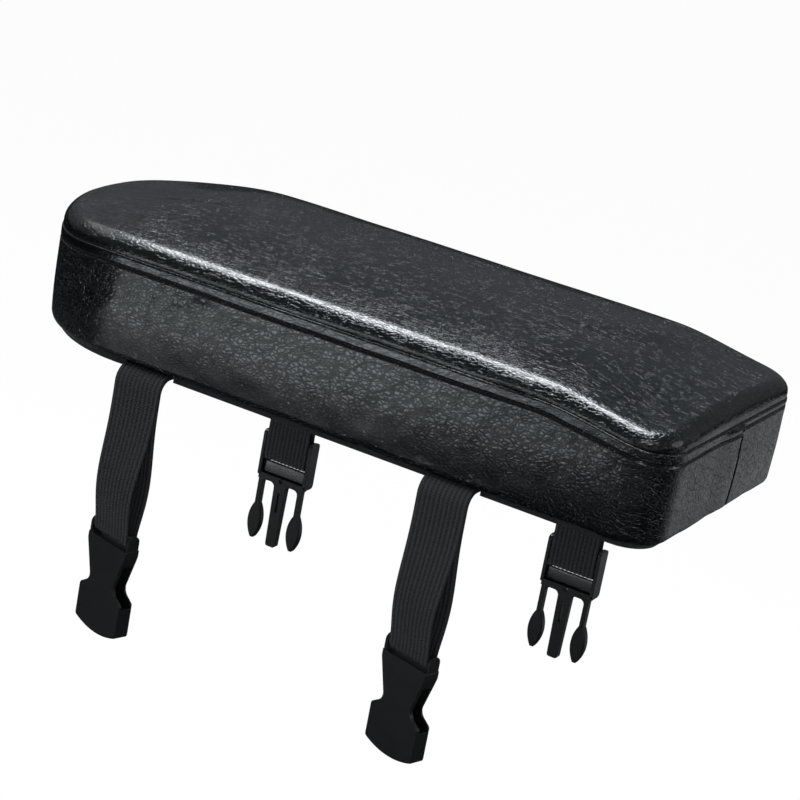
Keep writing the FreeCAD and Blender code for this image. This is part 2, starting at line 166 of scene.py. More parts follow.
def ripple(across, down, cell, seed, around=None):
    """Soft random waves: a seeded lattice of numbers, one per cell, read between by smooth steps.

    Where around is given, across wraps after that length.
    """
    rows, open_run = 200, 4.0
    run = around or open_run
    columns = max(2, round(run / cell))
    lattice = np.random.default_rng(seed).uniform(-1, 1, (rows, columns))
    a = across / (run / columns) + (0 if around else columns / 2)
    b = down / cell + rows / 2
    ia, ib = (np.floor(v).astype(int) for v in (a, b))
    fa, fb = ease(a - ia), ease(b - ib)
    left, right = (
        lattice[ib % rows, k % columns] * (1 - fb) + lattice[(ib + 1) % rows, k % columns] * fb
        for k in (ia, ia + 1)
    )
    return left * (1 - fa) + right * fa


def grid_quads(rows, columns, wrap_rows=False, upward=False):
    """Faces of a grid whose columns close on themselves: four neighbours each, turned by upward."""
    down = np.arange(rows if wrap_rows else rows - 1)[:, None]
    here = np.arange(columns)[None, :]
    below = (down + 1) % rows
    beside = (here + 1) % columns
    corners = [down * columns + here, down * columns + beside]
    corners += [below * columns + beside, below * columns + here]
    order = (0, 3, 2, 1) if upward else (0, 1, 2, 3)
    return np.stack([corners[k] for k in order], axis=-1).reshape(-1, 4)


def new_piece(name, points, quads, uv=None, merge=0.0):
    """Puts points and faces into a smooth mesh object at the origin; merge welds doubles."""
    mesh = bpy.data.meshes.new(name)
    points = np.asarray(points, float).reshape(-1, 3)
    mesh.vertices.add(len(points))
    mesh.vertices.foreach_set("co", points.astype(np.float32).ravel())
    mesh.loops.add(quads.size)
    mesh.loops.foreach_set("vertex_index", quads.astype(np.int32).ravel())
    mesh.polygons.add(len(quads))
    mesh.polygons.foreach_set("loop_start", np.arange(0, quads.size, 4, dtype=np.int32))
    mesh.polygons.foreach_set("use_smooth", np.ones(len(quads), bool))
    if uv is not None:
        layer = mesh.uv_layers.new(name="flat")
        corner = np.asarray(uv, float).reshape(-1, 2)[quads.ravel()]
        layer.data.foreach_set("uv", corner.astype(np.float32).ravel())
    mesh.update(calc_edges=True)
    if merge:
        work = bmesh.new()
        work.from_mesh(mesh)
        bmesh.ops.remove_doubles(work, verts=work.verts, dist=merge)
        bmesh.ops.dissolve_degenerate(work, edges=work.edges, dist=merge)
        work.to_mesh(mesh)
        work.free()
    mesh.validate()
    piece = bpy.data.objects.new(name, mesh)
    bpy.context.scene.collection.objects.link(piece)
    return piece


def dress(piece, material):
    """Gives a piece or CAD node one material."""
    piece.data.materials.clear()
    piece.data.materials.append(material)


# Form of the cushion


def seam_level(s, x):
    """Height of the top seam: level, easing down over the last run at each end."""
    half = s.length / 2
    tip = s.rounded_drop * ease((-x - half + s.drop_run) / s.drop_run)
    end = s.square_drop * ease((x - half + s.drop_run) / s.drop_run)
    return s.seam_height - tip - end


def roof_level(s, x, y):
    """Height of the crowned top: the seam and roll, plus a crown that falls off to both sides."""
    across = 1 - (2 * y / s.width) ** 2
    return seam_level(s, x) + s.roll_height + s.crown_rise * across


def half_outline(s):
    """Near half of the plan outline, in fine steps: end line, corner, side, shoulder arc, tip arc."""
    half_length, half_width, shoulder = s.length / 2, s.width / 2, s.shoulder_radius
    reach = s.tip_radius - shoulder
    tip_x = s.tip_radius - half_length
    shoulder_y = half_width - shoulder
    shoulder_x = tip_x - math.sqrt(reach**2 - shoulder_y**2)
    corner_x = half_length - s.corner_radius
    corner_y = half_width - s.corner_radius
    lean = math.atan2(shoulder_y, tip_x - shoulder_x)
    line = np.linspace(0, 1, 241)[:-1]
    turn = line * math.pi / 2
    bow = line * (math.pi / 2 - lean)
    tip = np.linspace(lean, 0, 241)
    parts = (
        (half_length + 0 * line, corner_y * line),
        (corner_x + s.corner_radius * np.cos(turn), corner_y + s.corner_radius * np.sin(turn)),
        (corner_x + (shoulder_x - corner_x) * line, half_width + 0 * line),
        (shoulder_x - shoulder * np.sin(bow), shoulder_y + shoulder * np.cos(bow)),
        (tip_x - s.tip_radius * np.cos(tip), s.tip_radius * np.sin(tip)),
    )
    x, y = np.concatenate(parts, axis=1)
    return np.stack([x, -y], axis=-1)


class Outline:
    """The whole plan outline by arc length, from the middle of the square end round the near side."""

    def __init__(self, s):
        near = half_outline(s)
        ring = np.concatenate([near, (near * (1, -1))[-2::-1]])
        step = np.hypot(*np.diff(ring, axis=0).T)
        self.at = np.concatenate([[0], np.cumsum(step)])
        self.ring = ring
        self.around = self.at[-1]
        along = np.gradient(ring, self.at, axis=0)
        along[0] = along[-1] = (0, -1)
        self.out = np.stack([-along[:, 1], along[:, 0]], axis=-1)

    def read(self, table, place):
        """Reads a table of pairs along the outline at given arc lengths."""
        place = np.mod(place, self.around)
        pair = [np.interp(place, self.at, table[:, k]) for k in (0, 1)]
        return np.stack(pair, axis=-1)

    def point(self, place):
        """Points of the outline at given arc lengths."""
        return self.read(self.ring, place)

    def normal(self, place):
        """Outward directions at given arc lengths, of unit length."""
        out = self.read(self.out, place)
        return out / np.linalg.norm(out, axis=-1, keepdims=True)


def top_form(s, line, place, rows):
    """Top panel without its sewn detail, rows by columns.

    Up to ROLL_SHARE a row is a quarter turn of the rolled edge, from the seam inwards and up.
    After it a row runs straight to the middle line, at the height of the roof.
    """
    edge, out = line.point(place), line.normal(place)
    turn = np.clip(rows / ROLL_SHARE, 0, 1)[:, None] * math.pi / 2
    inset = s.roll_radius * (1 - np.cos(turn))
    rim = edge - out * s.roll_radius
    low = seam_level(s, edge[:, 0])[None, :]
    high = roof_level(s, rim[:, 0], rim[:, 1])[None, :]
    roll = edge[None] - out[None] * inset[..., None]
    roll_z = low + (high - low) * np.sin(turn)
    share, middle_share = np.abs(1 - 2 * place / line.around), 0.70
    middle = np.stack([(share - 0.5) * middle_share * s.length, 0 * share], axis=-1)
    t = np.clip((rows - ROLL_SHARE) / (1 - ROLL_SHARE), 0, 1)[:, None]
    top = rim[None] + (middle - rim)[None] * t[..., None]
    top_z = roof_level(s, top[..., 0], top[..., 1])
    on_roll = (rows <= ROLL_SHARE)[:, None]
    plan = np.where(on_roll[..., None], roll, top)
    return np.concatenate([plan, np.where(on_roll, roll_z, top_z)[..., None]], axis=-1)


def band_form(s, line, place, rows):
    """Side band without its sewn detail, rows by columns: upright from the seam at 0 to the hem at 1."""
    edge = line.point(place)
    high = seam_level(s, edge[:, 0])[None, :]
    z = high + (s.hem_height - high) * rows[:, None]
    plan = np.broadcast_to(edge, (rows.size, *edge.shape))
    return np.concatenate([plan, z[..., None]], axis=-1)


def faces_out(sheet):
    """Unit normals of a grid closed across its columns: the two grid steps crossed, turned outwards."""
    down = np.gradient(sheet, axis=0)
    across = np.roll(sheet, -1, axis=1) - np.roll(sheet, 1, axis=1)
    normal = np.cross(across, down)
    return normal / np.maximum(np.linalg.norm(normal, axis=-1, keepdims=True), 1e-12)


def swell(s, line):
    """How far the stuffing pushes the cover out, from a cloth simulation on a coarse copy of it.

    The copy starts slack, is held at the seam and at the hem, and is blown up by pressure with no
    gravity. The moves are taken along the normals, capped and evened out over the neighbours, and
    the inmost rows are made the same on both sides of the middle line where they meet.
    Returns the coarse rows and the moves of the top panel and of the side band.
    """
    columns, frames, smoothings, inmost = 168, 20, 8, 3
    slack, least, most_top, most_band = 1.2 * MM, -0.2 * MM, 2.4 * MM, 0.2 * MM
    top_rows = np.concatenate([np.linspace(0, ROLL_SHARE, 5), np.linspace(0.24, 0.97, 11)])
    band_rows = np.linspace(0, 1, 10)
    place = np.arange(columns) * line.around / columns
    top = top_form(s, line, place, top_rows)
    band = band_form(s, line, place, band_rows)
    form = np.concatenate([top[::-1], band[1:]])
    sheet = form.copy()
    seam_row = len(top) - 1
    sunk = slack * np.sin(np.clip(top_rows * 3, 0, 1) * math.pi / 2)
    sheet[: seam_row + 1, :, 2] -= sunk[::-1, None]
    piece = new_piece("swelling_cover", sheet, grid_quads(len(sheet), columns))
    held = piece.vertex_groups.new(name="held")
    fixed = (np.array([seam_row, len(sheet) - 1])[:, None] * columns + np.arange(columns)).ravel()
    held.add([int(k) for k in fixed], 1.0, "REPLACE")
    cloth = piece.modifiers.new("stuffing", "CLOTH").settings
    cloth.quality = 6
    cloth.mass = 0.15
    cloth.tension_stiffness = 25
    cloth.compression_stiffness = 12
    cloth.shear_stiffness = 8
    cloth.bending_stiffness = 0.6
    cloth.vertex_group_mass = "held"
    cloth.use_pressure = True
    cloth.uniform_pressure_force = 4.0
    cloth.effector_weights.gravity = 0
    scene = bpy.context.scene
    for step in range(frames):
        scene.frame_set(step + 1)
    blown = piece.evaluated_get(bpy.context.evaluated_depsgraph_get())
    moved = np.zeros(len(blown.data.vertices) * 3, np.float32)
    blown.data.vertices.foreach_get("co", moved)
    scene.frame_set(1)
    bpy.data.objects.remove(piece)
    normal = faces_out(form)
    push = np.sum((moved.reshape(form.shape) - form) * normal, axis=-1)
    most = np.where(np.arange(len(form)) <= seam_row, most_top, most_band)
    push = np.clip(push, least, most[:, None])
    push[:inmost] = push[inmost]
    for _ in range(smoothings):
        push = (np.roll(push, 1, axis=1) + 2 * push + np.roll(push, -1, axis=1)) / 4
        push[1:-1] = (push[:-2] + 2 * push[1:-1] + push[2:]) / 4
        push[[seam_row, -1]] = 0
        inner = push[: inmost + 1]
        push[: inmost + 1] = (inner + np.roll(inner[:, ::-1], 1, axis=1)) / 2
    move = normal * push[..., None]
    return top_rows, band_rows, move[: seam_row + 1][::-1], move[seam_row:]


def finer(field, coarse_rows, rows, turns):
    """Reads a coarse field of moves at finer rows and at shares of a turn, smoothly both ways."""
    down = np.interp(rows, coarse_rows, np.arange(coarse_rows.size))
    return spread(spread(field, down, 0, False), turns * field.shape[1], 1, True)


def stitch_depth(s, line, place):
    """How far the topstitch runs below the seam: the strip width, and less past the square end's lap."""
    wander, narrow = 0.35 * MM, 0.62
    edge = line.point(place)
    past_lap = (edge[..., 0] > s.length / 2 - 2 * MM) & (edge[..., 1] > s.lap_edge)
    stray = wander * ripple(place, 0 * place, 22 * MM, 5, line.around)
    return np.where(past_lap, narrow, 1.0) * s.strip + stray


def band_relief(s, line, place, depth, height):
    """Outward relief of the side band at given depths below the seam.

    The cover tucks in at the seam and stands out below it. The topstitch pulls a groove into it,
    steep above and easy below, deeper at each stitch. Below that the band leans in towards the hem
    by a square law, with soft waves. At the square end one edge laps the other and is drawn shut.
    """
    tuck_reach, steep, easy, lean_from, wave_fade = 0.4 * MM, 0.7 * MM, 1.4 * MM, 14 * MM, 6 * MM
    lap_rise, lap_start, lap_run, lap_down = 0.9 * MM, 30 * MM, 24 * MM, 3 * MM
    shut_share, shut_in, shut_reach = 0.9, 1.6 * MM, 0.7 * MM
    off = depth - stitch_depth(s, line, place)
    pull = s.groove * (1 + 0.25 * ripple(place, 0 * place, 9 * MM, 6, line.around))
    pull = pull * (1 + 0.3 * np.cos(2 * math.pi * place / s.stitch_pitch))
    tuck = s.seam_tuck * np.exp(-((depth / tuck_reach) ** 2))
    groove = pull * (1 - ease(np.where(off < 0, -off / steep, off / easy)))
    lower = np.clip((depth - lean_from) / (height - lean_from), 0, 1)
    lean = s.lean - (s.lean + s.hem_draw) * lower**2
    between = ease((off - 1 * MM) / wave_fade) * ease((height - depth) / wave_fade)
    broad, middling, small = (
        rise * MM * ripple(place, depth, cell * MM, seed, line.around)
        for rise, cell, seed in ((0.18, 26, 11), (0.05, 9, 12), (0.06, 6, 13))
    )
    body = lean + between * (broad + middling) + small
    edge = line.point(place)
    on_end = edge[..., 0] > s.length / 2 - 1 * MM
    beside = edge[..., 1] - s.lap_edge
    lapped = ease((beside + lap_start) / lap_run) * (beside < 0)
    shut = shut_share * np.exp(-(((beside + shut_in) / shut_reach) ** 2))
    lap = lap_rise * on_end * (lapped - shut) * ease(depth / lap_down)
    return body - tuck - groove + lap


def outer_points(form, line, place, relief):
    """Moves a form outwards in plan by its relief."""
    out = line.normal(place)
    moved = form.copy()
    moved[..., :2] += out[None] * relief[..., None]
    return moved


def top_panel(s, line, moves):
    """Top panel: the swollen form with its edge tucked into the seam, and an inner face one skin below.

    Between the two a sewn edge goes down behind the side band. Shallow random dents lie across it,
    on axes turned by the 3-4-5 angle.
    """
    tuck_reach, bulge_out, bulge_up, bulge_reach = 0.9 * MM, 0.5 * MM, 4 * MM, 2.6 * MM
    sway_out, sway_up, broad_dent, small_dent = 0.35 * MM, 9 * MM, 0.22 * MM, 0.07 * MM
    sewn_in, sewn_down = 1.1 * MM, 1 * MM
    rolled = np.linspace(0, ROLL_SHARE, 15)
    rows = np.concatenate([rolled, np.linspace(ROLL_SHARE, 1, 47)[1:]])
    place = np.arange(TURN_STEPS) * line.around / TURN_STEPS
    form = top_form(s, line, place, rows)
    top_rows, _, top_move, _ = moves
    form += finer(top_move, top_rows, np.minimum(rows, top_rows[-1]), place / line.around)
    climb = np.minimum(rows / ROLL_SHARE, 1)[:, None] * s.roll_radius * math.pi / 2
    tuck = 0.5 * s.seam_tuck * np.exp(-((climb / tuck_reach) ** 2))
    bulge = bulge_out * np.exp(-(((climb - bulge_up) / bulge_reach) ** 2))
    sway = sway_out * ripple(place, 0 * place, 24 * MM, 3, line.around)[None]
    sway = sway * np.sin(np.clip(climb / sway_up, 0, 1) * math.pi)
    form = outer_points(form, line, place, bulge - tuck + sway)
    x, y = form[..., 0], form[..., 1]
    turned = 0.8 * x + 0.6 * y, 0.8 * y - 0.6 * x
    dent = broad_dent * ripple(*turned, 34 * MM, 21)
    dent = dent + small_dent * ripple(*turned[::-1], 13 * MM, 22)
    form[..., 2] += dent * ease(rows / 0.3)[:, None]
    form[-1, :, 1] = 0
    form[-1, 1:] = (form[-1, 1:] + form[-1, :0:-1]) / 2
    inner_rows = [60, 52, 44, 36, 28, 20, 14, 10, 6, 3, 0]
    edge, out = line.point(place), line.normal(place)
    inset = (s.skin * np.cos(rows[inner_rows] * 5)).clip(0)
    inner = form[inner_rows]
    inner[..., :2] -= out[None] * inset[:, None, None]
    inner[..., 2] -= s.skin * ease(rows[inner_rows] / 0.1)[:, None]
    inner[0, :, 1] = 0
    sewn_z = seam_level(s, edge[:, 0]) - sewn_down
    sewn = np.concatenate([edge - out * sewn_in, sewn_z[:, None]], axis=-1)
    sheet = np.concatenate([inner, sewn[None], form])
    quads = grid_quads(len(sheet), TURN_STEPS, upward=True)
    return new_piece("top_panel_cover", sheet, quads, merge=1e-6)


def side_band(s, line, moves):
    """Side band: from the seam down over strip, topstitch and side, round the hem and under the board.

    An inner face one skin inside closes it, row by row, into one ring.
    """
    fine_down, ramp, sag_down = 8.4 * MM, 18 * MM, 0.35 * MM
    rag_all, rag_end, end_run = 0.35, 0.75, 25 * MM
    near_lap = s.lap_edge + np.array([-3.0, -2.4, -2.0, -1.6, -1.2, -0.8, -0.3, -0.05, 0.05]) * MM
    place = np.arange(TURN_STEPS) * line.around / TURN_STEPS
    place = np.sort(np.concatenate([place, line.around - near_lap]))
    height = (seam_level(s, line.point(place)[:, 0]) - s.hem_height)[None]
    fine = np.linspace(0, fine_down, 22)[:, None] + 0 * height
    rest = np.linspace(0, 1, 37)[1:, None]
    depth = np.concatenate([fine, fine_down + (height - fine_down - s.hem_radius) * rest])
    share = depth / height
    form = band_form(s, line, place, np.zeros(len(depth)))
    form[..., 2] -= depth
    _, band_rows, _, band_move = moves
    move = finer(band_move, band_rows, share.mean(axis=1), place / line.around)
    form += move * ease((depth - s.strip) / ramp)[..., None]
    wide = np.broadcast_to(place, depth.shape)
    form = outer_points(form, line, place, band_relief(s, line, wide, depth, height))
    edge, out = line.point(place), line.normal(place)
    rag = rag_all + rag_end * (edge[:, 0] > s.length / 2 - end_run)
    sag = ripple(place, 0 * place, 11 * MM, 17, line.around) - 1
    hem = s.hem_height + sag_down * rag * sag
    form[..., 2] += ease((share - 0.7) / 0.3) * (hem - s.hem_height)[None]
    turn = np.linspace(0, math.pi / 2, 7)[1:, None]
    round_in = s.hem_radius * (1 - np.cos(turn))
    round_z = hem + s.hem_radius * (1 - np.sin(turn))
    under = np.linspace(0.3, 1, 4)[:, None] * (s.hem_return - s.hem_radius) + s.hem_radius
    flat = s.hem_height + (hem - s.hem_height) * np.linspace(0.6, 0, 4)[:, None]
    inset = np.concatenate([round_in + s.hem_draw + 0 * hem, under + 0 * hem])
    level = np.concatenate([round_z, flat])
    tail = np.concatenate([edge[None] - out[None] * inset[..., None], level[..., None]], axis=-1)
    back_in = np.array([s.hem_return, s.hem_radius + s.skin, s.skin, s.skin, s.skin + 0.8 * MM])
    lift = np.array([0, 0, 0.06, 0.5, 1.0])[:, None] * (height - s.skin)
    back_z = s.hem_height + s.skin + lift
    back_xy = edge[None] - out[None] * back_in[:, None, None]
    back = np.concatenate([back_xy, back_z[..., None]], axis=-1)
    ring = np.concatenate([form, tail, back])
    quads = grid_quads(len(ring), place.size, wrap_rows=True)
    return new_piece("side_band_cover", ring, quads)


def stitches(s, line):
    """Topstitch: flattened dashes of thread in the groove, each a tapered tube along the outline."""
    half_dash, arch, half_thick, half_wide = 0.46, 0.12 * MM, 0.25 * MM, 0.80 * MM
    count = round(line.around / s.stitch_pitch)
    pitch = line.around / count
    along = np.linspace(-1, 1, 7)
    around = np.arange(6) * math.pi / 3
    place = ((np.arange(count) + 0.5)[:, None] + half_dash * along[None]) * pitch
    depth = stitch_depth(s, line, place)
    height = seam_level(s, line.point(place)[..., 0]) - s.hem_height
    bed = band_relief(s, line, place, depth, height)
    bed = bed.mean(axis=1, keepdims=True) + arch * (1 - along**2)
    taper = np.sqrt(np.clip(1 - along**4, 0, 1))
    edge, out = line.point(place), line.normal(place)
    level = seam_level(s, edge[..., 0]) - depth
    reach = bed[..., None] + half_thick * taper[None, :, None] * np.cos(around)
    rise = level[..., None] + half_wide * taper[None, :, None] * np.sin(around)
    plan = edge[..., None, :] + out[..., None, :] * reach[..., None]
    points = np.concatenate([plan, rise[..., None]], axis=-1)
    one = grid_quads(along.size, around.size)
    quads = one[None] + (np.arange(count) * along.size * around.size)[:, None, None]
    return new_piece("topstitch", points, quads.reshape(-1, 4), merge=1e-7)


# Straps


def strap_path(side, twist, slack):
    """Centre line of a folded strap: points, outward and width directions, from one end to the other.

    The webbing leaves the anchor under the board, bends over its edge, hangs, goes half round the
    buckle bar and comes back as the inner layer. The hang turns by twist on its way down, and its
    layers bow apart by slack times 16 u^2 (1 - u)^2, with u the 1.5th power of the way down.
    """
    bend, bend_z, anchor, layer, loop = 7 * MM, -5.05 * MM, 45 * MM, 0.8 * MM, 2.8 * MM
    run = np.linspace(0, 1, 9)[:-1]
    arc = np.linspace(0, math.pi / 2, 13)[:-1]
    hang = np.linspace(0, 1, 56)
    half = np.linspace(0, math.pi, 19)[1:-1]
    up_side = np.array([0, 0, 1.0])
    outward = np.array([0, side, 0.0])

    def layer_points(offset, spread_to):
        """One layer: anchor line, quarter bend, hang with its distance to the fold easing out."""
        inner = BAR_OUT - bend
        flat = np.outer(inner - anchor * (1 - run), outward) + up_side * (bend_z + bend + offset)
        flat_n = np.broadcast_to(up_side, flat.shape)
        arc_n = np.outer(np.sin(arc), outward) + np.outer(np.cos(arc), up_side)
        curve = outward * inner + up_side * bend_z + arc_n * (bend + offset)
        turn = twist * ease(hang)
        hang_n = np.stack([-side * np.sin(turn), side * np.cos(turn), 0 * turn], axis=-1)
        late = hang**1.5
        bow = math.copysign(slack, offset) * 16 * late**2 * (1 - late) ** 2
        gap = offset + (spread_to - offset) * ease(hang) + bow
        level = bend_z + (BAR_LEVEL - bend_z) * hang
        fall = outward * BAR_OUT + np.outer(level, up_side) + hang_n * gap[:, None]
        points = np.concatenate([flat, curve, fall])
        normals = np.concatenate([flat_n, arc_n, hang_n])
        turns = np.concatenate([0 * run, 0 * arc, turn])
        return points, normals, turns

    front, front_n, front_t = layer_points(layer, loop)
    back, back_n, back_t = layer_points(-layer, -loop)
    end_n = front_n[-1]
    loop_n = np.outer(np.cos(half), end_n) - np.outer(np.sin(half), up_side)
    bar = outward * BAR_OUT + up_side * BAR_LEVEL
    points = np.concatenate([front, bar + loop_n * loop, back[::-1]])
    normals = np.concatenate([front_n, loop_n, -back_n[::-1]])
    turns = np.concatenate([front_t, np.full(half.size, twist), back_t[::-1]])
    widths = np.stack([np.cos(turns), np.sin(turns), 0 * turns], axis=-1)
    return points, normals, widths


def strap(s, name, x, side, twist, slack):
    """Folded strap: a ribbed flat section carried along the centre line, with both ends closed."""
    valley, rise, edge_power, edge_least = 0.62, 0.38, 16, 0.02
    points, normals, widths = strap_path(side, twist, slack)
    points = points + np.array([x, 0, 0])
    across = np.linspace(-1, 1, 4 * s.ribs + 1)
    rib = valley + rise * np.abs(np.sin(math.pi * s.ribs * (across + 1) / 2))
    rib = rib * np.sqrt(np.clip(1 - np.abs(across) ** edge_power, edge_least, 1))
    side_w = np.concatenate([across, across[::-1]]) * s.web_width / 2
    side_t = np.concatenate([rib, -rib[::-1]]) * s.web_thickness / 2
    step = np.concatenate([[0], np.cumsum(np.linalg.norm(np.diff(points, axis=0), axis=1))])
    end = np.ones(len(points))
    end[[0, -1]] = 0
    body = points[:, None] + widths[:, None] * side_w[None, :, None]
    body = body + normals[:, None] * (side_t[None] * end[:, None])[..., None]
    uv = np.stack(np.broadcast_arrays(side_w[None, :], step[:, None]), axis=-1)
    quads = grid_quads(len(points), side_w.size, upward=side > 0)
    piece = new_piece(name, body, quads, uv=uv, merge=1e-7)
    return piece, float(step[-1])


def web_plate(name, x):
    """Plate across a plug's frame, below the bar: a squared oval section leaning back, carried across.

    The section is the cosine and the sine to the power square, and both ends close on its middle.
    """
    half_thick, half_tall, square, lean = 0.5 * MM, 3.95 * MM, 0.4, math.sin(math.radians(3))
    half_wide, near_end, below_bar = 13.1 * MM, 12.9 * MM, 7.85 * MM
    turn = np.arange(24) * math.pi / 12
    thick, tall = (np.sign(v) * np.abs(v) ** square for v in (np.cos(turn), np.sin(turn)))
    thick, tall = half_thick * thick, half_tall * tall
    section = np.stack([0 * turn, thick + lean * tall, tall - lean * thick], axis=-1)
    across = np.array([-half_wide, -half_wide, -near_end, near_end, half_wide, half_wide])
    full = np.array([0, 1, 1, 1, 1, 0])
    middle = np.stack([x + across, 0 * across + BAR_OUT, 0 * across + BAR_LEVEL - below_bar], axis=-1)
    points = middle[:, None] + section[None] * full[:, None, None]
    return new_piece(name, points, grid_quads(across.size, turn.size), merge=1e-7)


# Materials


SMOOTH = {"interpolation_type": "SMOOTHSTEP"}


def add(tree, kind, inputs=None, **settings):
    """Adds a shader node with its settings; an input given a node or socket is linked, any other set."""
    node = tree.nodes.new("ShaderNode" + kind)
    for name, value in settings.items():
        setattr(node, name, value)
    for name, value in (inputs or {}).items():
        if isinstance(value, bpy.types.Node):
            value = next(socket for socket in value.outputs if socket.enabled)
        if isinstance(value, bpy.types.NodeSocket):
            tree.links.new(value, node.inputs[name])
        else:
            node.inputs[name].default_value = value
    return node


def new_material(name):
    """A material with no nodes yet, and its node tree."""
    material = bpy.data.materials.new(name)
    material.use_nodes = True
    material.node_tree.nodes.clear()
    return material, material.node_tree


def finished(material, shader):
    """Ends a material's nodes on its surface shader."""
    add(material.node_tree, "OutputMaterial", {"Surface": shader})
    return material


def tint(base, share):
    """A colour made darker or lighter by a share, with full alpha."""
    return (*[min(1, c * share) for c in base], 1)


def creases(tree, place, cell, width):
    """Network of creases round cells: 0 on a crease, rising to 1 within width of it."""
    edge = add(tree, "TexVoronoi", {"Vector": place, "Scale": 1 / cell}, feature="DISTANCE_TO_EDGE")
    return add(tree, "MapRange", {"Value": edge, "From Max": width / cell}, **SMOOTH)


def leatherette(name, base, cell, heights, gloss, worn, calm, drawn):
    """PVC-coated cloth, embossed with a leather grain and calendered glossy.

    It gives the eye near-black with a cool shine, slanting pebbles cell wide between thin creases,
    a wider net of wrinkles, and short raised glints along the piece. The creases and wrinkles hold
    painted shade: the base colour falls to half in them. Heights are those of domes, creases,
    wrinkles, glints and grit, in millimetres. The roughness is gloss on the pebbles and worn in the
    creases. Over the 11 mm below the height calm the grain is stretched flat, and below the height
    drawn the shading rounds under by a square law.
    """
    material, tree = new_material(name)
    place = add(tree, "TexCoord").outputs["Object"]
    stir = add(tree, "TexNoise", {"Vector": place, "Scale": 1 / (5 * MM), "Detail": 2.0})
    shift = add(
        tree,
        "VectorMath",
        {0: stir.outputs["Color"], 1: (2.2 * MM,) * 3, 2: place},
        operation="MULTIPLY_ADD",
    )
    patch = add(tree, "TexNoise", {"Vector": place, "Scale": 1 / (24 * MM), "Detail": 3.0})
    slant = add(tree, "Mapping", {0: shift, "Rotation": (0, 0.45, 0), "Scale": (0.75, 1, 1.2)})
    domes, pebbles, wrinkles = (
        creases(tree, slant, wide * cell, reach * cell)
        for wide, reach in ((1.0, 0.50), (1.0, 0.14), (3.0, 0.24))
    )
    both = add(tree, "Math", {0: pebbles, 1: wrinkles}, operation="MULTIPLY")
    drawn_out = add(tree, "Mapping", {0: shift, "Scale": (0.26, 1, 1)})
    ridge = add(tree, "TexNoise", {"Vector": drawn_out, "Scale": 1 / (1.6 * MM), "Detail": 1.0})
    glints = add(tree, "MapRange", {"Value": ridge, "From Min": 0.58, "From Max": 0.70}, **SMOOTH)
    grit = add(tree, "TexNoise", {"Vector": place, "Scale": 1 / (0.8 * MM), "Detail": 2.0})
    height = 0.0
    for part, rise in zip((domes, pebbles, wrinkles, glints, grit), heights):
        height = add(tree, "Math", {0: part, 1: rise, 2: height}, operation="MULTIPLY_ADD")
    level = add(tree, "SeparateXYZ", {0: place}).outputs["Z"]
    span = {"From Min": calm - 11 * MM, "From Max": calm, "To Min": 1.9, "To Max": 0.5}
    share = add(tree, "MapRange", {"Value": level, **span}, **SMOOTH)
    share = add(tree, "Math", {0: share, 1: patch}, operation="MULTIPLY")
    under = drawn
    for value, law in ((level, "SUBTRACT"), (0.0, "MAXIMUM"), (2.0, "POWER"), (-5.0, "MULTIPLY")):
        under = add(tree, "Math", {0: under, 1: value}, operation=law)
    round_under = add(tree, "Bump", {"Height": under, "Distance": 1.0})
    relief = add(
        tree, "Bump", {"Height": height, "Strength": share, "Distance": MM, "Normal": round_under}
    )
    rough = add(tree, "MapRange", {"Value": both, "To Min": worn, "To Max": gloss})
    # Painted shade: the colour darkens to half the base in the creases and wrinkles.
    shade = add(tree, "Mix", {0: both, 6: tint(base, 0.5), 7: tint(base, 1)}, data_type="RGBA")
    shader = add(
        tree,
        "BsdfPrincipled",
        {
            "Base Color": shade,
            "Roughness": rough,
            "IOR": 1.52,
            "Specular Tint": (0.86, 0.93, 1.0, 1.0),
            "Coat Weight": 0.3,
            "Coat Roughness": 0.1,
            "Normal": relief,
        },
    )
    return finished(material, shader)


def moulded_acetal(name, base, gloss):
    """Acetal, injection moulded: satin black off an eroded tool, shiny off a polished one.

    A faint orange peel breaks its shine, and its edges are soft.
    """
    material, tree = new_material(name)
    place = add(tree, "TexCoord").outputs["Object"]
    peel = add(tree, "TexNoise", {"Vector": place, "Scale": 1 / (0.8 * MM), "Detail": 2.0})
    cloud = add(tree, "TexNoise", {"Vector": place, "Scale": 1 / (9 * MM), "Detail": 3.0})
    span = {"From Min": 0.3, "From Max": 0.7, "To Min": gloss - 0.06, "To Max": gloss + 0.06}
    rough = add(tree, "MapRange", {"Value": cloud, **span})
    shade = add(tree, "Mix", {0: cloud, 6: tint(base, 0.8), 7: tint(base, 1.2)}, data_type="RGBA")
    soft = add(tree, "Bevel", {"Radius": 0.45 * MM}, samples=6)
    relief = add(tree, "Bump", {"Height": peel, "Strength": 0.5, "Distance": 0.06 * MM, "Normal": soft})
    shader = add(
        tree, "BsdfPrincipled", {"Base Color": shade, "Roughness": rough, "IOR": 1.48, "Normal": relief}
    )
    return finished(material, shader)


